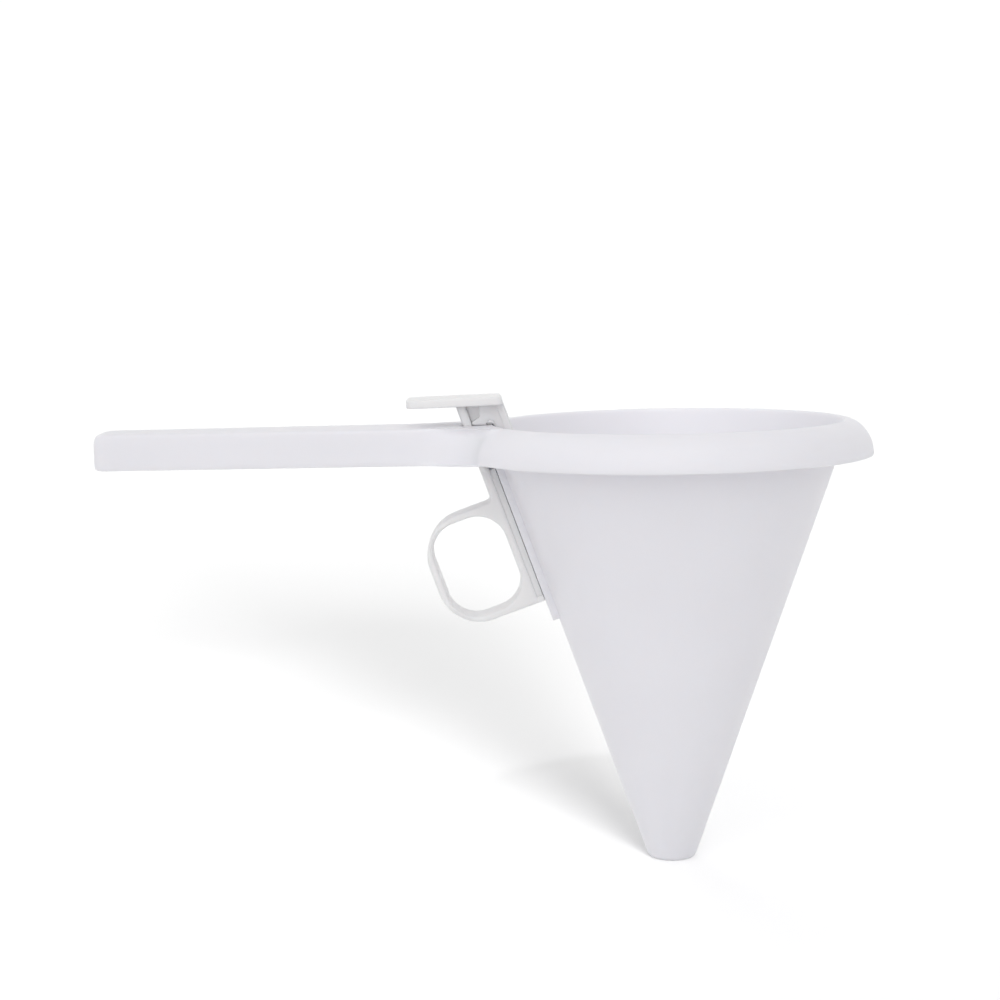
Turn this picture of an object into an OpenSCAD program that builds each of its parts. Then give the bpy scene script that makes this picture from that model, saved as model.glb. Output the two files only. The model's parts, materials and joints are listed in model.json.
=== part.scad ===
// Hand funnel for pancake batter. A cone with a curled rim and a hollow handle carries a slider,
// which a finger ring and a thumb tab move along the cone's side to lift a plug off the outlet.
// Z is the cone's axis, the outlet's mouth is at the origin, and the handle points along -X.
// The slider's parts are drawn in a tilted frame: z runs up the cone's side, -x out of it.

/* [Cone] */
// Outside radius that the cone's slope has at the tip
tip_r = 6.3; // [6:0.1:6.8]
// Half angle of the cone, in degrees
cone_angle = 19.5; // [19:0.1:20]
// Thickness of the cone's wall
wall = 1.8; // [1.7:0.1:2]
// Radius of the outlet
outlet_r = 4; // [3.8:0.1:4.2]
// Length of the outlet's straight bore
outlet_l = 3.5; // [3.2:0.1:3.6]
// Rounding of the tip's outer edge
tip_round = 1.7; // [1.2:0.1:1.9]

/* [Rim] */
// Height of the rim's crest above the tip
crest_z = 119.3; // [118:0.1:121]
// Outside radius of the curled lip
lip_r = 54.4; // [54:0.1:56]
// How far the lip curls down from the crest
lip_drop = 9.4; // [9:0.1:10]
// Thickness of the lip
lip_wall = 1.6; // [1.4:0.1:1.8]

/* [Handle] */
// Distance from the cone's axis to the handle's free end
handle_reach = 152.7; // [140:0.1:165]
// Height of the handle's side walls
handle_h = 9.8; // [9.5:0.1:10.2]
// Width at the free end
handle_end_w = 15; // [14:0.5:17]
// Width where the flare into the rim begins
handle_root_w = 21; // [20:0.5:23]
// Corner radius of the free end, in plan
handle_corner_r = 3.5; // [3:0.5:5]
// Radius of the flare into the rim, in plan
flare_r = 22; // [20:1:24]
// Thickness of the side walls
handle_wall = 1.6; // [1.4:0.1:1.8]
// Thickness of the top
handle_top = 1.8; // [1.6:0.1:2]

/* [Slide guide] */
// How far the guide stands out from the cone
guide_proud = 1.6; // [1.5:0.1:1.7]
// Width of the guide
guide_w = 10.5; // [10:0.5:12]
// Distance up the slope to the guide's lower end
guide_low = 73.2; // [72:0.1:74]
// Distance up the slope to the guide's upper end
guide_high = 117; // [116.6:0.1:117.4]
// Width of the guide's slot, inside and at its mouth
slot_head_w = 8; // [7.6:0.1:8.4]
slot_mouth_w = 3.4; // [3.2:0.1:3.8]
// Thickness of the lips that hold the slider in
slot_lip = 0.6; // [0.5:0.05:0.6]

/* [Slider] */
// Travel from closed to open
travel = 6.5; // [5.5:0.1:6.5]
// Width of the slider's strips and of the finger ring
strip_w = 10; // [9:0.5:10]
// Thickness of the outer strip
strip_t = 2.4; // [2.2:0.1:2.6]
// Space between the guide and the outer strip
strip_gap = 1.75; // [1.6:0.05:1.9]
// Distance up the slope to the slider's lower end
slider_low = 79; // [78.5:0.1:79.5]
// Finger hole: size out from the cone, size along it, corner radius
hole_out = 20.2; // [19:0.1:21]
hole_along = 26; // [25:0.1:27]
hole_r = 8; // [7:0.1:9]
// Thickness of the ring's band, and its outer corner radius
band_t = 2; // [1.8:0.1:2.2]
band_corner_r = 11.5; // [11:0.1:12]

/* [Thumb tab and stopper] */
// Length and width of the thumb tab
tab_l = 25.7; // [25:0.1:27]
tab_w = 17; // [15:0.5:18]
// Thickness of the tab
tab_t = 2.3; // [2:0.1:2.5]
// Height of the tab's top at the post
tab_z = 127; // [126.5:0.1:127.5]
// Slope of the tab, in degrees
tab_slope = 1.5; // [0:0.1:2]
// How far the tab's inner end overhangs the blade, and its rounding
tab_lip = 1.1; // [0.5:0.1:1.2]
tab_round = 1; // [0.5:0.1:1.7]
// Corner radius of the tab's outer end, in plan
tab_corner_r = 4; // [2:0.5:6]
// Thickness of the blade inside the cone, and of the slider's ribs
blade_t = 2; // [1.8:0.1:2.1]
rib_t = 1.8; // [1.6:0.1:2]
// Height of the plug above the outlet's bore
plug_h = 10; // [9:0.5:11]

/* [Hidden] */
$fn = 96;
eps = 0.01;
far = 400;
above_tab = tab_z + 20;

// Clearances: in the guide's slot, round the strip, inside the cone, and at the plug's seat
slot_play = 0.14;
strip_play = 0.35;
cone_play = 0.8;
seat_play = 0.3;

// Cone: radii at a height, and offsets from the tilted frame's origin
slope = tan(cone_angle);
cos_a = cos(cone_angle);
sin_a = sin(cone_angle);
wall_r = wall / cos_a;
function outer_r(z) = tip_r + slope * z;
function inner_r(z) = tip_r - wall_r + slope * z;
outer_n = tip_r * cos_a;
inner_n = outer_n - wall;
lip_z = crest_z - lip_drop;
// Height at which the bore's 45 degree seat meets the inner cone
seat_z = (tip_r - wall_r - outlet_r + outlet_l) / (1 - slope);

// Handle: its top lies a little below the crest, and its root runs in under the rim,
// where its lower edges rise to the lip's over the last of its length
handle_sink = 0.3;
handle_top_z = crest_z - handle_sink;
handle_low_z = handle_top_z - handle_h;
root_spread = 4;
root_run = 8;

// Slider, as distances out of the cone (n) and up its side (s)
guide_n = outer_n + guide_proud;
strip_in_n = guide_n + strip_gap;
strip_out_n = strip_in_n + strip_t;
hole_in_n = strip_out_n - 0.3;
hole_low = slider_low + band_t;
ring_high = hole_low + hole_along + band_t;
ring_out_n = hole_in_n + hole_out + band_t;
// Fillet between the outer strip and the ring's top
stem_fillet = 1.5;
// Foot under the tongue, and the tongue: a neck in the slot's mouth and a head behind its lips
foot_h = 1.6;
foot_play = 0.25;
tongue_low = slider_low + foot_h;
tongue_high = guide_high - travel - 2.6;
neck_w = slot_mouth_w - 0.6;
head_w = slot_head_w - 0.5;
head_n = guide_n - slot_lip - slot_play;
slot_high = tongue_high + travel + 0.3;
// A shoulder fills most of the space between guide and strip, and a rib stiffens the strip above it
shoulder_w = strip_w - 1.6;
shoulder_high = guide_high - 6;
strip_rib_high = guide_high + 12.3;
rib_play = 0.5;
// Blade inside the cone: its two faces, and the back of its rib
blade_out_n = 1.6;
blade_in_n = blade_out_n - blade_t;
blade_n = inner_n - cone_play;
// The web crosses above the rim, where the blade and the outer strip straddle the wall. A pad
// thickens it, apart from a pocket beside the strip, and an arch clears the crest.
web_z = crest_z + 0.4;
pad_w = strip_w - 0.8;
pocket_w = pad_w - 2.6;
pocket_x = -50.2;
pocket_z = 121.3;
pocket_slope = 32;
arch_r = 1.1;
tab_inner_x = tab_lip - tab_z * slope;
catch_w = 4;
catch_h = 2.4;
catch_play = 0.1;
catch_s = (web_z + 2.6 + strip_in_n * sin_a) / cos_a;
// Plug, and the ends of the blade that runs from inside the plug to the rim
plug_low = outlet_l + 0.5;
plug_high = plug_low + plug_h;
plug_edge = 1.2;
plug_nose = 0.4;
blade_low = plug_high - 1;
blade_high = 124;

PLASTIC = [0.93, 0.93, 0.94];
SLIDER_PLASTIC = [0.91, 0.91, 0.9];

function arc(c, r, from, to, n = 16) =
    [for (i = [0:n]) let (a = from + (to - from) * i / n) c + r * [cos(a), sin(a)]];

// Tilted frame of the slider
module along_slope() {
    rotate([0, -cone_angle, 0]) children();
}

// Extrudes a profile drawn as [distance out of the cone, distance up the slope], w wide
module side_extrude(w) {
    rotate([90, 0, 0])
        translate([0, 0, -w / 2])
            mirror([1, 0, 0])
                linear_extrude(w) children();
}

module block(n0, n1, s0, s1, w) {
    translate([-n1, -w / 2, s0]) cube([n1 - n0, w, s1 - s0]);
}

// ---- Funnel moulding ----

module cone_profile() {
    polygon(concat(
        [[outlet_r, 0]],
        arc([outer_r(0) - tip_round, tip_round], tip_round, -90, -cone_angle),
        [
            [outer_r(lip_z), lip_z],
            [inner_r(lip_z), lip_z],
            [inner_r(seat_z), seat_z],
            [outlet_r, outlet_l]
        ]
    ));
}

module funnel_cone() {
    color(PLASTIC) rotate_extrude() cone_profile();
}

// Quarter ellipse of the lip, inset by t, from the lip's lower edge up to the crest
lip_mid_r = inner_r(crest_z) + 0.1;
function lip_curve(t, n = 18) = [
    for (i = [0:n]) let (a = 90 * i / n)
        [lip_mid_r + (lip_r - lip_mid_r - t) * cos(a), lip_z + (lip_drop - t) * sin(a)]
];

module lip_profile() {
    outside = lip_curve(0);
    inside = [for (p = lip_curve(lip_wall)) if (p[0] > outer_r(p[1]) + 0.2) p];
    root_z = inside[len(inside) - 1][1] + 0.1;
    polygon(concat(
        [[inner_r(lip_z), lip_z], [inner_r(crest_z - 0.8), crest_z - 0.8]],
        [for (i = [len(outside) - 1:-1:0]) outside[i]],
        inside,
        [[outer_r(root_z), root_z], [outer_r(lip_z), lip_z]]
    ));
}

// Opening through the rim and the handle's root for the outer strip and its rib
module strip_opening() {
    along_slope() {
        block(strip_in_n - strip_play, strip_out_n + strip_play, guide_high, far, strip_w + 2 * strip_play);
        block(guide_n + foot_play - strip_play, strip_in_n, guide_high, far, rib_t + 2 * rib_play);
    }
}

module rim_lip() {
    color(PLASTIC) difference() {
        rotate_extrude() lip_profile();
        strip_opening();
    }
}

// Everything that the lip's outside takes up, for cutting the handle's root to it
module lip_envelope() {
    rotate_extrude() polygon(concat(
        [[0, lip_z - far], [lip_r, lip_z - far]],
        lip_curve(0),
        [[0, crest_z]]
    ));
}

// Plan of the handle, inset by t, running on under the rim
module handle_plan(t) {
    end_y = handle_end_w / 2 - t;
    root_y = handle_root_w / 2;
    corner_r = handle_corner_r - t;
    flare_y = root_y + flare_r;
    flare_x = -sqrt(pow(lip_r + flare_r, 2) - pow(flare_y, 2));
    rim_angle = -atan2(flare_y, -flare_x);
    half = concat(
        arc([-handle_reach + handle_corner_r, end_y - corner_r], corner_r, 180, 90, 8),
        arc([flare_x, flare_y], flare_r + t, -90, rim_angle),
        [[-lip_mid_r, root_y + root_spread]]
    );
    polygon(concat(half, [for (i = [len(half) - 1:-1:0]) [half[i][0], -half[i][1]]]));
}

// Space below the root, under the plane that rises to the lip's lower edge
module below_root() {
    translate([-lip_r - root_run, -far / 2, handle_low_z])
        rotate([0, -atan2(lip_z - handle_low_z, root_run), 0])
            translate([0, 0, -root_run]) cube([2 * root_run, far, root_run]);
}

module handle() {
    color(PLASTIC) difference() {
        translate([0, 0, handle_low_z]) linear_extrude(handle_h) handle_plan(0);
        translate([0, 0, handle_low_z - 1])
            linear_extrude(handle_h - handle_top + 1) handle_plan(handle_wall);
        below_root();
        lip_envelope();
        strip_opening();
    }
}

module slide_guide() {
    slot_floor = outer_n - 1;
    color(PLASTIC) difference() {
        along_slope() block(outer_n - 1.5, guide_n, guide_low, guide_high, guide_w);
        cylinder(r1 = outer_r(0), r2 = outer_r(far), h = far);
        along_slope() {
            block(slot_floor, guide_n - slot_lip, guide_low - 1, slot_high, slot_head_w);
            block(slot_floor, guide_n + 1, guide_low - 1, slot_high, slot_mouth_w);
        }
    }
}

// ---- Finger-ring slide ----

module rounded_square(corner, size, r) {
    translate(corner) {
        translate([r, 0]) square([size[0] - 2 * r, size[1]]);
        translate([0, r]) square([size[0], size[1] - 2 * r]);
        for (x = [r, size[0] - r], y = [r, size[1] - r]) translate([x, y]) circle(r);
    }
}

// The ring and the strip above it
module ring_profile() {
    height = ring_high - slider_low;
    difference() {
        union() {
            rounded_square(
                [ring_out_n - 2.5 * band_corner_r, slider_low],
                [2.5 * band_corner_r, height],
                band_corner_r
            );
            translate([strip_in_n, slider_low])
                square([ring_out_n - band_corner_r - strip_in_n, height]);
            translate([strip_in_n, ring_high - 1]) square([strip_t, above_tab]);
            translate([strip_out_n - 1, ring_high - 1]) square(1 + stem_fillet);
        }
        translate([strip_out_n + stem_fillet, ring_high + stem_fillet]) circle(stem_fillet);
        translate([strip_in_n - far, 0]) square([far, far]);
        rounded_square([hole_in_n, hole_low], [hole_out, hole_along], hole_r);
    }
}

module ring_slide() {
    floor_n = outer_n + slot_play;
    color(SLIDER_PLASTIC) difference() {
        along_slope() {
            side_extrude(strip_w) ring_profile();
            block(guide_n + foot_play, strip_in_n + eps, slider_low, tongue_low, strip_w);
            block(guide_n + foot_play, strip_in_n + eps, tongue_low - eps, shoulder_high, shoulder_w);
            block(guide_n + foot_play, strip_in_n + eps, shoulder_high - eps, strip_rib_high, rib_t);
            block(floor_n, strip_in_n + eps, tongue_low, tongue_high, neck_w);
            block(floor_n, head_n, tongue_low, tongue_high, head_w);
        }
        above_tab_underside();
        along_slope() catch_block(catch_play, strip_t + 1);
    }
}

// ---- Thumb tab and stopper ----

// The tab lies in its own sloping frame: x from its outer end, z from its top
module tab_frame() {
    translate([tab_inner_x, 0, tab_z]) rotate([0, -tab_slope, 0]) translate([-tab_l, 0, 0]) children();
}

module above_tab_underside() {
    tab_frame() translate([-far / 2, -far / 2, -tab_t]) cube([far, far, far]);
}

// Catch that snaps into the outer strip's window, or with play the window itself
module catch_block(play, reach) {
    low = catch_s - catch_h / 2 - play;
    high = catch_s + catch_h / 2 + play;
    block(strip_in_n - 1, strip_in_n + reach, low, high, catch_w + 2 * play);
}

module tab_plan() {
    r = tab_corner_r;
    translate([0, -tab_w / 2]) {
        translate([r, 0]) square([tab_l - r, tab_w]);
        translate([0, r]) square([tab_l, tab_w - 2 * r]);
        for (y = [r, tab_w - r]) translate([r, y]) circle(r);
    }
}

module tab_side() {
    translate([0, -tab_t]) square([tab_l - tab_round, tab_t]);
    translate([0, -tab_t]) square([tab_l, tab_t - tab_round]);
    translate([tab_l - tab_round, -tab_round]) circle(tab_round);
}

module tab_plate() {
    intersection() {
        translate([0, 0, -tab_t]) linear_extrude(tab_t) tab_plan();
        rotate([90, 0, 0]) linear_extrude(tab_w + 2, center = true) tab_side();
    }
}

// Pocket beside the strip: an upright wall, and a floor that falls towards the strip
module web_pocket() {
    rotate([90, 0, 0])
        linear_extrude(far, center = true)
            polygon([
                [pocket_x, pocket_z],
                [pocket_x, above_tab],
                [pocket_x - far, above_tab],
                [pocket_x - far, pocket_z - far * tan(pocket_slope)]
            ]);
}

// Arch over the rim's crest
module crest_arch() {
    translate([-lip_mid_r - 0.5, 0, web_z])
        rotate([90, 0, 0]) cylinder(r = arch_r, h = far, center = true);
}

// Web between the blade and the outer strip, w wide
module web(w) {
    difference() {
        along_slope() block(blade_out_n - eps, strip_in_n, blade_high, above_tab, w);
        translate([-far / 2, -far / 2, web_z - far]) cube([far, far, far]);
        above_tab_underside();
        crest_arch();
    }
}

module thumb_tab() {
    color(SLIDER_PLASTIC) {
        tab_frame() tab_plate();
        difference() {
            along_slope() {
                block(blade_in_n, blade_out_n, blade_high, above_tab, strip_w);
                block(blade_out_n - eps, blade_n, blade_high, above_tab, rib_t);
            }
            above_tab_underside();
        }
        web(pocket_w);
        difference() {
            web(pad_w);
            web_pocket();
        }
        along_slope() catch_block(0, strip_t - 0.2);
    }
}

// Blade with a rib down its back, a T in section
module stopper_blade() {
    color(SLIDER_PLASTIC) difference() {
        along_slope() {
            block(blade_in_n, blade_out_n, blade_low, blade_high, strip_w);
            block(blade_out_n - eps, blade_n, blade_low, blade_high, rib_t);
        }
        plug_shape();
    }
}

// The plug follows the bore's 45 degree seat, then the cone, a clearance away from both
function plug_seat_r(z) = outlet_r - outlet_l + z - seat_play * sqrt(2);
function plug_cone_r(z) = inner_r(z) - seat_play / cos_a;

module plug_profile() {
    nose_z = plug_low + plug_nose;
    knee_z = (plug_cone_r(0) - plug_seat_r(0)) / (1 - slope);
    polygon([
        [0, plug_low],
        [plug_seat_r(plug_low) - plug_nose, plug_low],
        [plug_seat_r(nose_z), nose_z],
        [plug_cone_r(knee_z), knee_z],
        [plug_cone_r(plug_high - plug_edge), plug_high - plug_edge],
        [plug_cone_r(plug_high) - plug_edge, plug_high],
        [0, plug_high]
    ]);
}

module plug_shape() {
    rotate_extrude() plug_profile();
}

module stopper_plug() {
    color(SLIDER_PLASTIC) plug_shape();
}

funnel_cone();
rim_lip();
handle();
slide_guide();
ring_slide();
thumb_tab();
stopper_blade();
stopper_plug();
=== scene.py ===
import json
import math

import bmesh
import bpy
import numpy as np
from mathutils import Matrix, Vector
from mathutils.geometry import tessellate_polygon


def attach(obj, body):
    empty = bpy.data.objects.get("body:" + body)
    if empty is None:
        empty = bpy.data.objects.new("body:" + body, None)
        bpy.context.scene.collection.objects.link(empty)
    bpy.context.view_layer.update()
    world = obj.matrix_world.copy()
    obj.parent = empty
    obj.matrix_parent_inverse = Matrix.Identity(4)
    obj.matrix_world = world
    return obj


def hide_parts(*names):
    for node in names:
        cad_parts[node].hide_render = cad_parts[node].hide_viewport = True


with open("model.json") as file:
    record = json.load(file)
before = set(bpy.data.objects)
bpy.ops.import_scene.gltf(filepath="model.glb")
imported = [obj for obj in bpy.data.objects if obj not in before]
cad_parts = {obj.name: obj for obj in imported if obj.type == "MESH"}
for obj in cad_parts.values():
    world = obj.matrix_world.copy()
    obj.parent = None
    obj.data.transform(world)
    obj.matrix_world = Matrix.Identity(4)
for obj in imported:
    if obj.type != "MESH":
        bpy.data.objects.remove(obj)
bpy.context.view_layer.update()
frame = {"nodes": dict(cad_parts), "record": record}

MM = 0.001

# ---- Sizes of the object, in millimetres, as in the CAD model ----

TIP_R, CONE_ANGLE, WALL = 6.3, 19.5, 1.8
OUTLET_R, OUTLET_L, TIP_ROUND = 4.0, 3.5, 1.7
CREST_Z, LIP_R, LIP_DROP, LIP_WALL = 119.3, 54.4, 9.4, 1.6
HANDLE_REACH, HANDLE_TOP, HANDLE_LOW = 152.7, 119.0, 109.2
HANDLE_END_HALF, HANDLE_ROOT_HALF, HANDLE_CORNER = 7.5, 10.5, 3.5
HANDLE_WALL, HANDLE_PLATE, FLARE_R = 1.6, 1.8, 22.0
GUIDE_PROUD, GUIDE_W, GUIDE_LOW, GUIDE_HIGH, SLOT_HIGH = 1.6, 10.5, 73.2, 117.0, 114.7
SLOT_HEAD_W, SLOT_MOUTH_W, SLOT_LIP = 8.0, 3.4, 0.6
STRIP_W, STRIP_T, STRIP_GAP, SLIDER_LOW = 10.0, 2.4, 1.75, 79.0
HOLE_OUT, HOLE_ALONG, HOLE_R, BAND_T, BAND_CORNER = 20.2, 26.0, 8.0, 2.0, 11.5
SHOULDER_W, STRIP_RIB_HIGH = 8.4, 129.3
FOOT_H, TRAVEL, SLOT_PLAY = 1.6, 6.5, 0.14
TONGUE_PLAY = 2.6            # from the tongue's upper end, at full travel, to the guide's
NECK_W, HEAD_W = SLOT_MOUTH_W - 0.6, SLOT_HEAD_W - 0.5
CATCH_W, CATCH_H, CATCH_PLAY = 4.0, 2.4, 0.1
CATCH_RISE = 2.6             # of the catch's middle above WEB_Z
CATCH_SHORT = 0.2            # from the catch's face to the outside of the strip
TAB_L, TAB_W, TAB_T, TAB_Z = 25.7, 17.0, 2.3, 127.0
TAB_SLOPE, TAB_CORNER, TAB_LIP = 1.5, 4.0, 1.1
BLADE_IN, BLADE_OUT, RIB_T, RIB_PLAY = -0.4, 1.6, 1.8, 0.8
PLUG_LOW, PLUG_HIGH, SEAT_PLAY = 4.0, 14.0, 0.3
# Web between blade and strip, with the pocket beside the strip and the arch over the crest. Its
# underside lies closer to the rim and the handle's root than in the CAD model.
WEB_W, POCKET_W, ARCH_R = 9.2, 6.6, 1.1
POCKET_X, POCKET_Z, POCKET_SLOPE = -50.2, 121.3, 32.0
WEB_Z = 119.42               # underside over the crest
ROOT_Z = 119.26              # above the handle's root
STEP_Z = 118.1               # between the blade and the rim's inner edge

SLOPE = math.tan(math.radians(CONE_ANGLE))
COS_A, SIN_A = math.cos(math.radians(CONE_ANGLE)), math.sin(math.radians(CONE_ANGLE))
OUTER_N = TIP_R * COS_A
INNER_N = OUTER_N - WALL
GUIDE_N = OUTER_N + GUIDE_PROUD
STRIP_IN = GUIDE_N + STRIP_GAP
STRIP_OUT = STRIP_IN + STRIP_T
LIP_Z = CREST_Z - LIP_DROP


def outer_r(z):
    return TIP_R + SLOPE * z


def inner_r(z):
    return TIP_R - WALL / COS_A + SLOPE * z


LIP_MID_R = inner_r(CREST_Z) + 0.1


def lip_r(z, inset=0.0):
    """Radius of the lip's outer surface at a height."""
    rise = min(max((z - LIP_Z) / (LIP_DROP - inset), 0.0), 1.0)
    return LIP_MID_R + (LIP_R - inset - LIP_MID_R) * math.sqrt(1 - rise * rise)


def on_slope(n, y, s):
    """From the slider's tilted frame: n out of the cone, s up its side."""
    return (-n * COS_A - s * SIN_A, y, -n * SIN_A + s * COS_A)


TAB_INNER_X = TAB_LIP - TAB_Z * SLOPE


def slope_reach(n, drop):
    """Distance up the slope, at n, to a plane that lies drop below the tab's top."""
    t = math.tan(math.radians(TAB_SLOPE))
    # -n sin + s cos = TAB_Z - drop + (-n cos - s sin - TAB_INNER_X) t
    return (TAB_Z - drop + n * SIN_A - (n * COS_A + TAB_INNER_X) * t) / (COS_A + SIN_A * t)


# ---- Mesh helpers ----

def arc(centre, r, start, end, steps):
    angles = np.radians(np.linspace(start, end, steps + 1))
    return [(centre[0] + r * math.cos(a), centre[1] + r * math.sin(a)) for a in angles]


def rounded(points, radii, steps=6):
    """A closed polygon with each corner rounded by its own radius."""
    out = []
    count = len(points)
    for i in range(count):
        here = Vector(points[i])
        back = (Vector(points[i - 1]) - here)
        ahead = (Vector(points[(i + 1) % count]) - here)
        r = radii[i] if isinstance(radii, (list, tuple)) else radii
        if r <= 0:
            out.append(tuple(here))
            continue
        back.normalize()
        ahead.normalize()
        half = back.angle(ahead) / 2
        centre = here + (back + ahead).normalized() * (r / math.sin(half))
        first = here + back * (r / math.tan(half)) - centre
        turn = math.pi - 2 * half
        side = 1 if back.x * ahead.y - back.y * ahead.x < 0 else -1
        for k in range(steps + 1):
            a = side * turn * k / steps
            out.append((
                centre.x + first.x * math.cos(a) - first.y * math.sin(a),
                centre.y + first.x * math.sin(a) + first.y * math.cos(a),
            ))
    return out


def new_object(name, bm):
    bmesh.ops.remove_doubles(bm, verts=bm.verts, dist=2e-6)
    bmesh.ops.recalc_face_normals(bm, faces=bm.faces)
    mesh = bpy.data.meshes.new(name)
    bm.to_mesh(mesh)
    bm.free()
    obj = bpy.data.objects.new(name, mesh)
    bpy.context.scene.collection.objects.link(obj)
    return obj


def add_grid(bm, points, closed_u=False, closed_v=False, skip=None):
    """Quads over a grid of points, given in millimetres."""
    rows, columns = len(points), len(points[0])
    verts = [[bm.verts.new(Vector(p) * MM) for p in row] for row in points]
    for i in range(rows if closed_u else rows - 1):
        for j in range(columns if closed_v else columns - 1):
            if skip and skip(i, j):
                continue
            i2, j2 = (i + 1) % rows, (j + 1) % columns
            bm.faces.new((verts[i][j], verts[i2][j], verts[i2][j2], verts[i][j2]))


def miter(loop, inward):
    """Offset directions of a closed loop, towards its inside or its outside."""
    p = np.array(loop, float)
    nxt, prv = np.roll(p, -1, 0), np.roll(p, 1, 0)
    area = 0.5 * np.sum(p[:, 0] * nxt[:, 1] - nxt[:, 0] * p[:, 1])
    sign = (1 if area > 0 else -1) * (1 if inward else -1)
    e1, e2 = p - prv, nxt - p
    n1 = np.stack([-e1[:, 1], e1[:, 0]], 1) / np.linalg.norm(e1, axis=1)[:, None] * sign
    n2 = np.stack([-e2[:, 1], e2[:, 0]], 1) / np.linalg.norm(e2, axis=1)[:, None] * sign
    return (n1 + n2) / (1 + np.sum(n1 * n2, 1))[:, None]


def plate(name, loops, low, high, edge, place, steps=3, high_edge=None):
    """A plate with rounded edges. The first loop is its outline, the rest are holes.
    place(u, v, w) puts a point of the outline's plane, at height w, in the object's frame.
    high_edge(u, v) gives the rounding of the upper edge where it isn't the same all round."""
    angles = np.linspace(0, math.pi / 2, steps + 1)
    bm = bmesh.new()
    caps = {0: [], 2 * steps + 1: []}
    for index, loop in enumerate(loops):
        p, m = np.array(loop, float), miter(loop, index == 0)
        upper = np.array([high_edge(*q) if high_edge else edge for q in loop])
        shifts = [(edge * (1 - math.sin(a)), low + edge * (1 - math.cos(a))) for a in angles]
        shifts += [(upper * (1 - math.sin(a)), high - upper * (1 - math.cos(a))) for a in angles[::-1]]
        rings = []
        for k, (inset, w) in enumerate(shifts):
            moved = p + m * (np.ones(len(p)) * inset)[:, None]
            ring = [(*q, h) for q, h in zip(moved, np.ones(len(p)) * w)]
            rings.append(ring)
            if k in caps:
                caps[k].append(ring)
        add_grid(bm, [[place(*q) for q in ring] for ring in rings], closed_v=True)
    for rings in caps.values():
        flat = [q for ring in rings for q in ring]
        verts = [bm.verts.new(Vector(place(*q)) * MM) for q in flat]
        for tri in tessellate_polygon([[Vector((q[0], q[1], 0)) for q in ring] for ring in rings]):
            bm.faces.new([verts[i] for i in tri])
    return new_object(name, bm)


CRISP = 0.02                 # edge of a block that looks square


def slope_place(n, s, y):
    """From the plane of a profile in the slider's tilted frame."""
    return on_slope(n, y, s)


def box(name, n0, n1, s0, s1, w, edge=CRISP):
    """A block in the slider's tilted frame, with rounded edges along its side profile."""
    corners = [(n0, s0), (n1, s0), (n1, s1), (n0, s1)]
    return plate(name, [corners], -w / 2, w / 2, edge, slope_place, 2)


def add(obj, other):
    combine(obj, other, "UNION")


def cut(obj, other):
    combine(obj, other, "DIFFERENCE")


def revolve(bm, profile, count, skip=None):
    rings = [
        [(r * math.cos(t), r * math.sin(t), z) for r, z in profile]
        for t in (2 * math.pi * j / count for j in range(count))
    ]
    add_grid(bm, rings, closed_u=True, closed_v=True, skip=skip)


def combine(obj, other, operation):
    """Applies an exact boolean and deletes the second object."""
    mod = obj.modifiers.new("combine", "BOOLEAN")
    mod.operation = operation
    mod.solver = "EXACT"
    mod.object = other
    dg = bpy.context.evaluated_depsgraph_get()
    mesh = bpy.data.meshes.new_from_object(obj.evaluated_get(dg))
    obj.modifiers.clear()
    old, obj.data = obj.data, mesh
    bpy.data.meshes.remove(old)
    gone = other.data
    bpy.data.objects.remove(other)
    bpy.data.meshes.remove(gone)


def finish_mesh(obj, name, sharp=38.0):
    """Welds what the booleans left, smooths the shading and keeps real edges sharp."""
    bm = bmesh.new()
    bm.from_mesh(obj.data)
    bmesh.ops.remove_doubles(bm, verts=bm.verts, dist=4e-6)
    bmesh.ops.dissolve_degenerate(bm, edges=bm.edges, dist=4e-6)
    bm.to_mesh(obj.data)
    bm.free()
    obj.data.shade_smooth()
    obj.data.set_sharp_from_angle(angle=math.radians(sharp))
    obj.name = name
    obj.data.name = name


# ---- Funnel moulding: cone, rim, handle and slide guide in one mesh ----

COLUMNS = 160                # round the cone
WINDOW = 11                  # columns from the handle's middle to each end of its flare
ACROSS = 2 * WINDOW
FLARE_ROWS, STRAIGHT_ROWS, CORNER_ROWS = 14, 9, 6
EDGE_ROWS, SIDE_LEVELS = 4, 8
PLAY = 0.25                  # round the strip, in the opening through the rim
EDGE, LOW_EDGE = 1.0, 0.4    # roundings of the handle's top and bottom edges
END_EDGE, END_LOW_EDGE = 2.6, 1.1    # the same at its free end
WINDOW_TOP = 82.0            # how far up the lip's quarter ellipse the handle's top blends in
CREST_TURN, CREST_START = 83.5, 85.0     # where the lip's ellipse ends and its crest rounds over
CREST_DROP = 1.0             # of the crest's rounding, on the inside
SEAT_EDGE, BORE_EDGE = 0.6, 0.5      # roundings above the stopper's seat and below it
MOUTH_EDGE = 0.3             # of the outlet
LIP_EDGE = 0.35              # inside the lip's lower edge
GROOVE, GROOVE_PULL = 0.9, 0.55      # fillet between the cone and the lip
CHANNEL_EDGE = 0.8           # where the channel's sides meet its ceiling
CHANNEL_COLUMNS, CHANNEL_SPREAD, CHANNEL_PULL = 10, 21.5, 0.9
ROOT_TILT = 0.18             # radians by which the blends of the handle rise towards the axis
OPENING_LOW, OPENING_HIGH = 113.0, 140.0     # of the strip's opening, up the slope
GUIDE_SUNK, SLOT_SUNK = 1.2, 1.4     # guide and slot, into the cone's wall
GUIDE_EDGE = 0.3


def ellipse(angle):
    a = math.radians(angle)
    return (LIP_MID_R + (LIP_R - LIP_MID_R) * math.cos(a), LIP_Z + LIP_DROP * math.sin(a))


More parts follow.
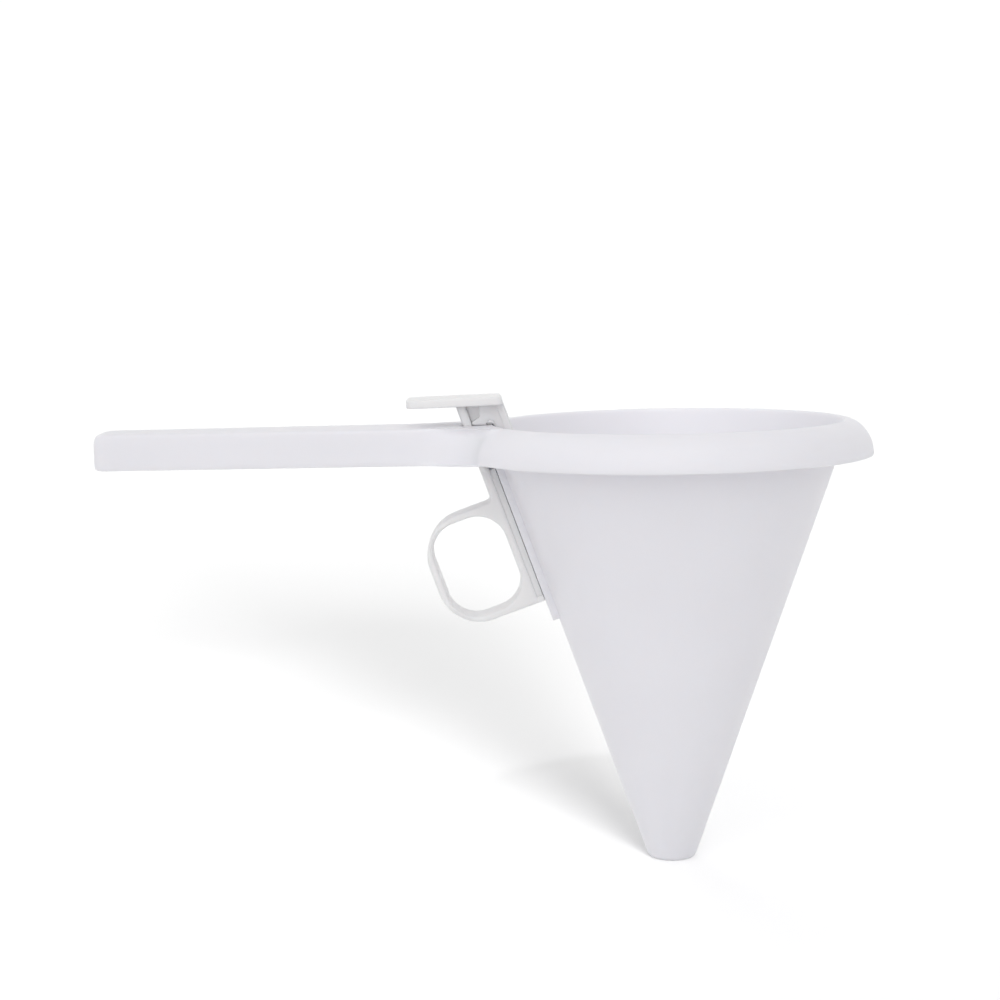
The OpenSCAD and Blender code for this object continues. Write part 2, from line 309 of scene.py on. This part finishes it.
side_top_z = HANDLE_TOP - EDGE
window_rows = arc((lip_r(LIP_Z + LOW_EDGE) - LOW_EDGE, LIP_Z + LOW_EDGE), LOW_EDGE, -90, 0, 2)
window_rows += [
    (lip_r(z), z) for z in np.linspace(LIP_Z + LOW_EDGE, side_top_z, SIDE_LEVELS + 1)[1:]
]
shoulder = math.degrees(math.asin((side_top_z - LIP_Z) / LIP_DROP))
window_rows += [ellipse(a) for a in np.linspace(shoulder, WINDOW_TOP, EDGE_ROWS + 1)[1:]]
SIDE_ROWS = len(window_rows) - 1

# Each level of the handle's side: how far it is inset in plan, and its height
levels = [(LOW_EDGE - LOW_EDGE * math.sin(a), HANDLE_LOW + LOW_EDGE - LOW_EDGE * math.cos(a))
          for a in (0, math.pi / 4, math.pi / 2)]
levels += [(0.0, z) for z in np.linspace(HANDLE_LOW + LOW_EDGE, side_top_z, SIDE_LEVELS + 1)[1:]]
levels += [(EDGE - EDGE * math.cos(a), side_top_z + EDGE * math.sin(a))
           for a in np.linspace(0, math.pi / 2, EDGE_ROWS + 1)[1:]]
# The same for the channel under the handle
ceiling = HANDLE_TOP - HANDLE_PLATE
channel_levels = [(HANDLE_WALL, z) for z in (HANDLE_LOW - 3, HANDLE_LOW + 1.5, ceiling - 3)]
channel_levels += [
    (HANDLE_WALL + CHANNEL_EDGE * (1 - math.cos(a)), ceiling - CHANNEL_EDGE * (1 - math.sin(a)))
    for a in np.linspace(0, math.pi / 2, 4)
]


def bezier(p0, p1, p2, p3, steps):
    t = np.linspace(0, 1, steps + 1)[:, None]
    p0, p1, p2, p3 = (np.array(p, float) for p in (p0, p1, p2, p3))
    near = (1 - t) ** 3 * p0 + 3 * t * (1 - t) ** 2 * p1
    far = 3 * t * t * (1 - t) * p2 + t ** 3 * p3
    return [tuple(q) for q in near + far]


def crest_section():
    """Over the crest, from the lip's ellipse to the inside of the cone."""
    crest = ellipse(CREST_START)
    low = (inner_r(CREST_Z - CREST_DROP), CREST_Z - CREST_DROP)
    leaving, arriving = (crest[0] - 0.5, crest[1] + 0.05), (low[0] + 0.17, low[1] + 0.5)
    return [ellipse(CREST_TURN)] + bezier(crest, leaving, arriving, low, 6)


def outlet_section():
    """Down the inside, over the stopper's seat, through the outlet and round the tip."""
    seat_z = (TIP_R - WALL / COS_A - OUTLET_R + OUTLET_L) / (1 - SLOPE)
    seat = (inner_r(seat_z), seat_z)
    bore = (OUTLET_R, OUTLET_L)
    points = [(inner_r(z), z) for z in np.linspace(CREST_Z - CREST_DROP, seat_z + SEAT_EDGE, 16)[1:]]
    points += bezier(points[-1], seat, seat, (seat[0] - BORE_EDGE, seat[1] - BORE_EDGE), 4)[1:]
    points += bezier((bore[0] + BORE_EDGE, bore[1] + BORE_EDGE), bore, bore,
                     (bore[0], bore[1] - SEAT_EDGE), 4)
    points += arc((OUTLET_R + MOUTH_EDGE, MOUTH_EDGE), MOUTH_EDGE, 180, 270, 3)
    # The tip's rounding is tangent to the cone
    tip_c = outer_r(TIP_ROUND) - TIP_ROUND / COS_A
    points += arc((tip_c, TIP_ROUND), TIP_ROUND, -90, -CONE_ANGLE, 8)
    return points


def groove_section(start):
    """From start, up the outside of the cone, through the groove and down inside the lip."""
    under = lip_r(LIP_Z, LIP_WALL)
    inside = []
    for angle in np.linspace(90, 3.5, 26):
        a = math.radians(angle)
        r = LIP_MID_R + (under - LIP_MID_R) * math.cos(a)
        z = LIP_Z + (LIP_DROP - LIP_WALL) * math.sin(a)
        if r > outer_r(z) + GROOVE:
            inside.append((r, z))
    root = np.array(inside[0])
    foot_z = root[1] - GROOVE
    points = [(outer_r(z), z) for z in np.linspace(start[1], foot_z, 16)[1:]]
    foot = points[-1]
    back = root - np.array(inside[1])
    back /= np.linalg.norm(back)
    leaving = (foot[0] + GROOVE_PULL * SIN_A, foot_z + GROOVE_PULL * COS_A)
    points += bezier(foot, leaving, root + back * GROOVE_PULL, root, 5)[1:-1]
    points += inside
    points += arc((under + LIP_EDGE, LIP_Z + LIP_EDGE), LIP_EDGE, 180, 270, 2)
    return points


def funnel_profile():
    """Closed section of cone and rim, from the lip's lower edge up and round the inside."""
    points = window_rows + crest_section() + outlet_section()
    return points + groove_section(points[-1])


def hermite(p1, t1, p0, t0, rows):
    """Rows from the handle's section, p1, to the lip, p0; the first row is the lip's.
    The height leaves the handle level and never overshoots."""
    out = []
    t1 = np.array((t1[0], t1[1], 0))
    t0 = np.array((t0[0], t0[1], 2 * (p0[2] - p1[2])))
    for i in range(rows + 1):
        t = 1 - i / rows
        h00, h10 = 2 * t ** 3 - 3 * t ** 2 + 1, t ** 3 - 2 * t ** 2 + t
        h01, h11 = -2 * t ** 3 + 3 * t ** 2, t ** 3 - t ** 2
        out.append(h00 * p1 + h10 * t1 + h01 * p0 + h11 * t0)
    return out


flare_x = -math.sqrt((LIP_R + FLARE_R) ** 2 - (HANDLE_ROOT_HALF + FLARE_R) ** 2)
flare_turn = math.radians(90 - 360 / COLUMNS * WINDOW)
flare_pull = 4 * FLARE_R * math.tan(flare_turn / 4)


def half_width(x):
    share = (x + HANDLE_REACH - HANDLE_CORNER) / (flare_x + HANDLE_REACH - HANDLE_CORNER)
    return HANDLE_END_HALF + (HANDLE_ROOT_HALF - HANDLE_END_HALF) * share


def end_inset(z):
    """How far the rounded edges of the free end set it back at a height."""
    inset = 0.0
    for r, depth in ((END_EDGE, HANDLE_TOP - z), (END_LOW_EDGE, z - HANDLE_LOW)):
        if 0 <= depth < r:
            inset = max(inset, r - math.sqrt(r * r - (r - depth) ** 2))
    return inset


def plan_rows(inset, end=None):
    """(x, half width) of the rows from the flare to the free end, inset in plan."""
    corner_x = -HANDLE_REACH + HANDLE_CORNER
    rows = [(x, half_width(x) - inset) for x in np.linspace(flare_x, corner_x, STRAIGHT_ROWS + 1)]
    across, along = HANDLE_CORNER - inset, HANDLE_CORNER - max(inset, end or 0.0)
    for k in range(1, CORNER_ROWS + 1):
        a = math.pi / 2 * k / CORNER_ROWS
        w = HANDLE_END_HALF - HANDLE_CORNER + across * math.cos(a)
        rows.append((corner_x - along * math.sin(a), w))
    return rows


def tube(bm, side, root, across, lid=False):
    """A handle-shaped box, open or closed at its root. side has each level's inset and height;
    root(level, column) is the point where it meets the lip, and its tangent there."""
    top = len(side) - 1

    def column(level, k):
        inset, z = side[level]
        share = 2 * k / across - 1
        plan = plan_rows(inset, None if lid else end_inset(z))
        p1 = np.array((plan[0][0], share * plan[0][1], z))
        p0, t0 = root(level, k)
        rows = hermite(p1, np.array((flare_pull, 0, 0)), p0, t0, FLARE_ROWS)
        rows += [np.array((x, share * w, z)) for x, w in plan[1:]]
        return rows

    for k in (0, across):
        add_grid(bm, [column(v, k) for v in range(top + 1)])
    for v in (0, top):
        add_grid(bm, [column(v, k) for k in range(across + 1)])
    ends = [0] if lid else []
    for i in [-1] + ends:
        add_grid(bm, [[column(v, k)[i] for k in range(across + 1)] for v in range(top + 1)])


def root_frame(r, z, theta):
    """A point of the lip, the way round it and the way in to the axis."""
    c, s = math.cos(theta), math.sin(theta)
    side = 1 if theta > math.pi else -1
    return np.array((r * c, r * s, z)), np.array((-s, c, 0)) * side, np.array((-c, -s, 0))


def tilted(in_way, share=1):
    """The way in to the axis, rising by the blends' tilt or a share of it."""
    return in_way * math.cos(ROOT_TILT) + np.array((0, 0, math.sin(ROOT_TILT) * share))


def handle_root(level, k):
    r, z = window_rows[level]
    theta = math.pi - 2 * math.pi / COLUMNS * (k - WINDOW)
    point, round_way, in_way = root_frame(r, z, theta)
    off = abs(k / WINDOW - 1)
    if level == 0:
        share = 0.5 * off ** 3
    elif level == SIDE_ROWS:
        share = 0.5 * off ** 3
        in_way = tilted(in_way)
    else:
        # On the handle's sides the blend runs round the lip, less so near the top and bottom
        rise = max(0.0, (level - SIDE_ROWS + EDGE_ROWS) / EDGE_ROWS, (2 - level) / 2)
        share = 1 - 0.5 * rise
        in_way = tilted(in_way, level > SIDE_ROWS / 2)
    way = share * round_way + (1 - share) * in_way
    return point, way / np.linalg.norm(way) * flare_pull


def channel_root(level, k):
    z = channel_levels[level][1]
    off = 2 * k / CHANNEL_COLUMNS - 1
    theta = math.pi - math.radians(CHANNEL_SPREAD) * off
    point, round_way, in_way = root_frame(lip_r(z), z, theta)
    share = off ** 2
    way = share * round_way + (1 - share) * in_way
    return point, way / np.linalg.norm(way) * flare_pull * CHANNEL_PULL


def build_guide():
    """The raised guide down the cone's side, with its T slot."""
    guide = box("guide", OUTER_N - GUIDE_SUNK, GUIDE_N, GUIDE_LOW, GUIDE_HIGH, GUIDE_W, GUIDE_EDGE)
    for name, n1, w in (("head", GUIDE_N - SLOT_LIP, SLOT_HEAD_W), ("mouth", GUIDE_N + 1, SLOT_MOUTH_W)):
        cut(guide, box(name, OUTER_N - SLOT_SUNK, n1, GUIDE_LOW - 2, SLOT_HIGH, w))
    return guide


def build_funnel():
    bm = bmesh.new()
    middle = COLUMNS // 2
    columns = range(middle - WINDOW, middle + WINDOW)
    revolve(bm, funnel_profile(), COLUMNS, lambda j, k: j in columns and k < SIDE_ROWS)
    tube(bm, levels, handle_root, ACROSS)
    funnel = new_object("funnel", bm)

    # The hollow under the handle
    bm = bmesh.new()
    tube(bm, channel_levels, channel_root, CHANNEL_COLUMNS, lid=True)
    cut(funnel, new_object("channel", bm))

    # The opening for the outer strip and its rib
    cut(funnel, box("hole", STRIP_IN - PLAY, STRIP_OUT + PLAY, OPENING_LOW, OPENING_HIGH,
                    STRIP_W + 2 * PLAY))
    cut(funnel, box("rib_hole", GUIDE_N, STRIP_IN, GUIDE_HIGH, OPENING_HIGH, RIB_T + 2 * PLAY))
    add(funnel, build_guide())
    finish_mesh(funnel, "funnel_moulding")
    return funnel


# ---- Slider: finger-ring slide, and thumb piece with the stopper ----

TAB_LEAN = 0.6               # of the tab's inner end, from its lower to its upper edge
SHOULDER_HIGH = 117.0        # up under the lip, 6 mm higher than the shoulder of the CAD model
SLIDE_PLAY = 0.12            # between the slide and the face of its guide
SUNK = 0.5                   # of a block into the one that carries it
APART = 0.03                 # between faces that would otherwise lie in one plane
RING_EDGE, FOOT_EDGE, STEM_EDGE, BLOCK_EDGE, RIB_EDGE = 0.75, 0.9, 1.5, 0.3, 0.2
WEB_PLAY, PAD_PLAY = 0.02, 0.05      # from the web and from its pad to the strip
WEB_SUNK = 1.2               # from the tab's top down to where they end inside it
STEP_LOW, STEP_HIGH = 1.15, 0.85     # from the step's lower and upper end out to the lip's middle
CREST_OUT = 0.5              # from the lip's middle out to the arch's axis


def ring_loops():
    """Outline and finger hole of the slide, as distances out of the cone and up its slope."""
    hole_in = STRIP_OUT - 0.3
    hole_out = hole_in + HOLE_OUT
    hole_low = SLIDER_LOW + BAND_T
    hole_high = hole_low + HOLE_ALONG
    ring_out, ring_high = hole_out + BAND_T, hole_high + BAND_T
    outline = rounded([
        (STRIP_IN, SLIDER_LOW), (ring_out, SLIDER_LOW), (ring_out, ring_high), (STRIP_OUT, ring_high),
        (STRIP_OUT, slope_reach(STRIP_OUT, TAB_T)), (STRIP_IN, slope_reach(STRIP_IN, TAB_T)),
    ], [FOOT_EDGE, BAND_CORNER, BAND_CORNER, STEM_EDGE, 0, 0], 12)
    hole = rounded([
        (hole_in, hole_low), (hole_out, hole_low), (hole_out, hole_high), (hole_in, hole_high),
    ], HOLE_R, 12)
    return [outline, hole]


def build_ring():
    ring = plate("ring", ring_loops(), -STRIP_W / 2, STRIP_W / 2, RING_EDGE, slope_place, 4)
    tongue_low, tongue_high = SLIDER_LOW + FOOT_H, GUIDE_HIGH - TRAVEL - TONGUE_PLAY
    back, floor_n = GUIDE_N + SLIDE_PLAY, OUTER_N + SLOT_PLAY
    carried = STRIP_IN + SUNK
    # Foot, shoulder and rib behind the strip, and the tongue's neck and head in the guide's slot.
    # Small steps keep the faces of two blocks out of one plane.
    for name, n0, n1, low, high, w, edge in (
        ("foot", back, carried, SLIDER_LOW + 0.02, tongue_low, STRIP_W - 0.2, BLOCK_EDGE),
        ("shoulder", back + APART, carried, tongue_low - SUNK, SHOULDER_HIGH, SHOULDER_W, BLOCK_EDGE),
        ("rib", back + 2 * APART, carried + 0.1, SHOULDER_HIGH - SUNK, STRIP_RIB_HIGH, RIB_T, RIB_EDGE),
        ("neck", floor_n, carried, tongue_low - 0.3, tongue_high, NECK_W, CRISP),
        ("head", floor_n + 0.01, GUIDE_N - SLOT_LIP - SLOT_PLAY, tongue_low - 0.1, tongue_high - 0.1,
         HEAD_W, CRISP),
    ):
        add(ring, box(name, n0, n1, low, high, w, edge))
    low, high = catch_span()
    cut(ring, box("window", STRIP_IN - 1, STRIP_OUT + 1, low - CATCH_PLAY, high + CATCH_PLAY,
                  CATCH_W + 2 * CATCH_PLAY))
    finish_mesh(ring, "finger_ring_slide")
    return ring


def catch_span():
    """Lower and upper end of the catch, up the slope."""
    middle = (WEB_Z + CATCH_RISE + STRIP_IN * SIN_A) / COS_A
    return middle - CATCH_H / 2, middle + CATCH_H / 2


def tab_place(x, y, z):
    """From the tab's sloping frame. The face of its inner end leans back towards the top."""
    x -= TAB_LEAN * (1 + z / TAB_T) * min(max((x + 3) / 3, 0), 1)
    a = math.radians(TAB_SLOPE)
    x, z = x * math.cos(a) - z * math.sin(a), x * math.sin(a) + z * math.cos(a)
    return (TAB_INNER_X + x, y, TAB_Z + z)


def web_place(x, z, y):
    """From the plane of the web's side."""
    return (x, y, z)


def web_outline(pocket):
    """Side of the web above the rim, with the arch over its crest and maybe the pocket."""
    def slope_point(n, z):
        return (-(n + z * SIN_A) / COS_A, z)

    def in_tab(x):
        """Height inside the tab at x."""
        return TAB_Z - WEB_SUNK + (x - TAB_INNER_X) * math.tan(math.radians(TAB_SLOPE))

    inner, outer = BLADE_OUT - SUNK, STRIP_IN - (PAD_PLAY if pocket else WEB_PLAY)
    inner_x, outer_x = -44, -54  # roughly, where the two sides end in the tab
    crest_x = -LIP_MID_R - CREST_OUT
    points = [slope_point(inner, in_tab(inner_x)), slope_point(inner, STEP_Z),
              (-LIP_MID_R + STEP_LOW, STEP_Z), (-LIP_MID_R + STEP_HIGH, WEB_Z - 0.3)]
    points += arc((crest_x, WEB_Z), ARCH_R, 0, 180, 8)
    points += [(crest_x - ARCH_R - 0.3, ROOT_Z), slope_point(outer, ROOT_Z)]
    if pocket:
        fall = math.tan(math.radians(POCKET_SLOPE))
        # Where the pocket's floor meets the strip
        z = (POCKET_Z - fall * POCKET_X - fall * outer / COS_A) / (1 + fall * SIN_A / COS_A)
        points += [slope_point(outer, z), (POCKET_X - 0.3, POCKET_Z - 0.1), (POCKET_X, POCKET_Z + 0.3),
                   (POCKET_X, in_tab(POCKET_X))]
    else:
        points.append(slope_point(outer, in_tab(outer_x)))
    return points


TAB_EDGE, TAB_INNER_EDGE = 0.4, 0.45
BLADE_EDGE, BLADE_RIB_EDGE, PAD_EDGE = 0.35, 0.3, 0.35
PLUG_EDGES = (0, 0.5, 0.8, 1.1, 0)
PLUG_NOSE, AXIS_R = 0.4, 0.05        # the nose's slope, and what stands in for the axis


def tab_upper_edge(x, y):
    """Rounding of the tab's upper edge, twice as large at its inner end."""
    return TAB_INNER_EDGE * (1 + max(0.0, 1 + x))


def blade_part(name, n0, n1, drop, w, edge):
    """A strip from inside the plug up to drop below the tab's top."""
    low = PLUG_HIGH - 1
    side = [(n0, low), (n1, low), (n1, slope_reach(n1, drop)), (n0, slope_reach(n0, drop))]
    return plate(name, [side], -w / 2, w / 2, edge, slope_place, 2)


def build_plug():
    """Stopper that keeps its play from the seat and the cone."""
    def seat(z):
        return OUTLET_R - OUTLET_L + z - SEAT_PLAY * math.sqrt(2)

    def cone(z):
        return inner_r(z) - SEAT_PLAY / COS_A

    knee = (cone(0) - seat(0)) / (1 - SLOPE)
    profile = rounded([
        (AXIS_R, PLUG_LOW), (seat(PLUG_LOW + PLUG_NOSE) - PLUG_NOSE / 2, PLUG_LOW), (cone(knee), knee),
        (cone(PLUG_HIGH), PLUG_HIGH), (AXIS_R, PLUG_HIGH),
    ], PLUG_EDGES, 5)
    bm = bmesh.new()
    revolve(bm, profile, 64)
    return new_object("plug", bm)


def build_thumb_piece():
    half = TAB_W / 2
    plan = rounded([(-TAB_L, -half), (0, -half), (0, half), (-TAB_L, half)],
                   [TAB_CORNER, 1.0, 1.0, TAB_CORNER], 8)
    tab = plate("tab", [plan], -TAB_T, -0.02, TAB_EDGE, tab_place, 5, tab_upper_edge)
    add(tab, blade_part("blade", BLADE_IN, BLADE_OUT, 1, STRIP_W, BLADE_EDGE))
    add(tab, blade_part("rib", BLADE_OUT / 2, INNER_N - RIB_PLAY, 1.1, RIB_T, BLADE_RIB_EDGE))
    for name, pocket, w, edge in (("web", False, POCKET_W, RIB_EDGE), ("pad", True, WEB_W, PAD_EDGE)):
        add(tab, plate(name, [web_outline(pocket)], -w / 2, w / 2, edge, web_place, 2))
    low, high = catch_span()
    add(tab, box("catch", STRIP_IN - 1, STRIP_OUT - CATCH_SHORT, low, high, CATCH_W, RIB_EDGE))
    add(tab, build_plug())
    finish_mesh(tab, "thumb_piece")
    return tab


funnel = build_funnel()
ring = build_ring()
thumb = build_thumb_piece()

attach(funnel, "funnel")
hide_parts("funnel_cone", "rim_lip", "handle", "slide_guide")
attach(ring, "slider")
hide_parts("ring_slide")
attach(thumb, "slider")
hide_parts("thumb_tab", "stopper_blade", "stopper_plug")


# ---- Materials ----

def node(tree, kind, location=(0, 0), **values):
    n = tree.nodes.new(kind)
    n.location = location
    for key, value in values.items():
        if key in n.inputs:
            n.inputs[key].default_value = value
        else:
            setattr(n, key, value)
    return n


def noise(tree, coords, location, scale, detail, roughness):
    n = node(tree, "ShaderNodeTexNoise", location, Scale=scale, Detail=detail, Roughness=roughness)
    tree.links.new(coords.outputs["Object"], n.inputs["Vector"])
    return n.outputs["Fac"]


def remap(tree, value, location, low, high, to_low=0.0, to_high=1.0):
    """Maps the range from low to high onto the range from to_low to to_high."""
    n = node(tree, "ShaderNodeMapRange", location)
    n.inputs["From Min"].default_value = low
    n.inputs["From Max"].default_value = high
    n.inputs["To Min"].default_value = to_low
    n.inputs["To Max"].default_value = to_high
    tree.links.new(value, n.inputs["Value"])
    return n.outputs["Result"]


def bump(tree, height, location, strength, distance):
    n = node(tree, "ShaderNodeBump", location, Strength=strength, Distance=distance)
    tree.links.new(height, n.inputs["Height"])
    return n


def plastic(name, colour, dull, roughness):
    """Moulded polypropylene: soft colour drift, satin skin with a fine grain, and faint scuffs."""
    mat = bpy.data.materials.new(name)
    mat.use_nodes = True
    tree = mat.node_tree
    link = tree.links.new
    shader = tree.nodes["Principled BSDF"]
    coords = node(tree, "ShaderNodeTexCoord", (-1300, 0))

    drift = noise(tree, coords, (-1000, 300), 22.0, 3.0, 0.5)
    mix = node(tree, "ShaderNodeMix", (-500, 300), data_type="RGBA")
    mix.inputs["A"].default_value = (*colour, 1)
    mix.inputs["B"].default_value = (*dull, 1)
    link(remap(tree, drift, (-760, 300), 0.35, 0.7), mix.inputs["Factor"])
    link(mix.outputs["Result"], shader.inputs["Base Color"])

    scuff = noise(tree, coords, (-1000, 0), 140.0, 5.0, 0.65)
    rough = remap(tree, scuff, (-760, 0), 0.3, 0.75, roughness - 0.05, roughness + 0.07)
    link(rough, shader.inputs["Roughness"])

    grain = noise(tree, coords, (-1000, -300), 1500.0, 2.0, 0.5)
    wave = noise(tree, coords, (-1000, -560), 55.0, 1.0, 0.4)
    fine = bump(tree, grain, (-500, -300), 0.06, 0.0001)
    broad = bump(tree, wave, (-260, -420), 0.12, 0.0004)
    link(fine.outputs["Normal"], broad.inputs["Normal"])
    link(broad.outputs["Normal"], shader.inputs["Normal"])

    shader.inputs["IOR"].default_value = 1.49
    shader.inputs["Subsurface Weight"].default_value = 0.4
    shader.inputs["Subsurface Radius"].default_value = (1.0, 0.9, 0.85)
    shader.inputs["Subsurface Scale"].default_value = 0.0025
    return mat


funnel_plastic = plastic("funnel_plastic", (0.855, 0.847, 0.89), (0.834, 0.826, 0.868), 0.38)
slider_plastic = plastic("slider_plastic", (0.85, 0.845, 0.85), (0.829, 0.824, 0.829), 0.36)
for obj, mat in ((funnel, funnel_plastic), (ring, slider_plastic), (thumb, slider_plastic)):
    obj.data.materials.clear()
    obj.data.materials.append(mat)
slots = {entry["node"]: entry["material_slot"] for entry in frame["record"]["subparts"]}
for name, obj in frame["nodes"].items():
    mat = slider_plastic if slots[name] == "slider_plastic" else funnel_plastic
    for s in obj.material_slots:
        s.material = mat


# ---- Floor, light and camera ----

def background_rays(tree, x, y):
    """1 for a ray from the camera, or mirrored or let through on its way from it, else 0."""
    path = node(tree, "ShaderNodeLightPath", (x, y))
    value = path.outputs["Is Camera Ray"]
    for i, kind in enumerate(("Is Glossy Ray", "Is Transmission Ray")):
        either = node(tree, "ShaderNodeMath", (x + 180 + 160 * i, y), operation="MAXIMUM")
        tree.links.new(value, either.inputs[0])
        tree.links.new(path.outputs[kind], either.inputs[1])
        value = either.outputs[0]
    return value


def studio_floor(name, seen, bounce):
    """A pale floor that shows white, with the shadows that fall on it, and that lights the object
    from below as a surface of the colour bounce."""
    mat = bpy.data.materials.new(name)
    mat.use_nodes = True
    tree = mat.node_tree
    tree.nodes.clear()
    out = node(tree, "ShaderNodeOutputMaterial", (400, 0))
    plain = node(tree, "ShaderNodeBsdfDiffuse", (0, 100), Color=(bounce, bounce, bounce, 1))
    shown = node(tree, "ShaderNodeBsdfDiffuse", (0, -100), Color=(seen, seen, seen, 1))
    mix = node(tree, "ShaderNodeMixShader", (200, 0))
    link = tree.links.new
    link(background_rays(tree, -500, 300), mix.inputs["Fac"])
    link(plain.outputs[0], mix.inputs[1])
    link(shown.outputs[0], mix.inputs[2])
    link(mix.outputs[0], out.inputs["Surface"])
    return mat


FLOOR_SIZE, FLOOR_GAP = 6.0, 0.0001
FLOOR_SEEN, FLOOR_BOUNCE = 0.84, 0.6
WORLD_LIGHT, WORLD_SEEN = 0.63, 1.03

bm = bmesh.new()
bmesh.ops.create_grid(bm, x_segments=8, y_segments=8, size=FLOOR_SIZE)
floor = new_object("floor", bm)
floor.location.z = -FLOOR_GAP
floor.data.materials.append(studio_floor("floor", FLOOR_SEEN, FLOOR_BOUNCE))

world = bpy.data.worlds.new("studio")
bpy.context.scene.world = world
world.use_nodes = True
tree = world.node_tree
background = tree.nodes["Background"]
level = remap(tree, background_rays(tree, -900, 200), (-300, 200), 0.0, 1.0, WORLD_LIGHT, WORLD_SEEN)
tree.links.new(level, background.inputs["Strength"])
background.inputs["Color"].default_value = (1, 1, 1, 1)


def sunlight(name, towards, power, spread):
    """Even light over the whole floor, from a direction given as azimuth and elevation."""
    data = bpy.data.lights.new(name, "SUN")
    data.energy = power
    data.angle = math.radians(spread)
    lamp = bpy.data.objects.new(name, data)
    bpy.context.scene.collection.objects.link(lamp)
    azimuth, elevation = (math.radians(a) for a in towards)
    lamp.rotation_euler = Vector((
        math.cos(elevation) * math.cos(azimuth),
        math.cos(elevation) * math.sin(azimuth),
        math.sin(elevation),
    )).to_track_quat("Z", "Y").to_euler()
    return lamp


def beam(name, place, target, power, spread, size):
    """A soft round beam from place to target, from a lamp that no camera sees."""
    data = bpy.data.lights.new(name, "SPOT")
    data.energy = power
    data.spot_size, data.spot_blend = math.radians(spread), 1.0
    data.shadow_soft_size = size
    lamp = bpy.data.objects.new(name, data)
    bpy.context.scene.collection.objects.link(lamp)
    lamp.location = place
    lamp.rotation_euler = (Vector(place) - Vector(target)).to_track_quat("Z", "Y").to_euler()
    lamp.visible_camera = False


sunlight("front", (-110, 25), 0.60, 60)
sunlight("right", (-60, 40), 0.17, 60)
sunlight("high_left", (180, 50), 0.18, 60)
# From above the front into the funnel's mouth, onto the far side of its inside
MOUTH_LAMP, FAR_INSIDE = (0.0, -0.955, 1.844), (-0.003, 0.045, 0.112)
beam("mouth", MOUTH_LAMP, FAR_INSIDE, 20.0, 5.7, 0.06)
# Two low lights that only the floor receives: they lay the long soft shadow behind the object
# and the faint one in front of it
floor_only = bpy.data.collections.new("floor_only")
floor_only.objects.link(floor)
sunlight("floor_front", (-76, 10), 6.9, 20).light_linking.receiver_collection = floor_only
sunlight("floor_back", (108, 20), 0.87, 40).light_linking.receiver_collection = floor_only

LENS, PITCH, ROLL = 72.96, math.radians(6.388), math.radians(1.162)
AIM, DISTANCE = Vector((-0.04514, 0.0, 0.09869)), 0.54403
ahead = Vector((0, math.cos(PITCH), -math.sin(PITCH)))
right, up = Vector((1, 0, 0)), Vector((0, math.sin(PITCH), math.cos(PITCH)))
tilted_right = math.cos(ROLL) * right - math.sin(ROLL) * up
tilted_up = math.sin(ROLL) * right + math.cos(ROLL) * up
camera = bpy.data.objects.new("camera", bpy.data.cameras.new("camera"))
camera.data.lens = LENS
camera.data.sensor_width = 36.0
camera.matrix_world = Matrix.Translation(AIM - DISTANCE * ahead) @ Matrix(
    (tilted_right, tilted_up, -ahead)).transposed().to_4x4()
bpy.context.scene.collection.objects.link(camera)
bpy.context.scene.camera = camera
bpy.context.scene.view_settings.view_transform = "Standard"

bpy.context.view_layer.update()
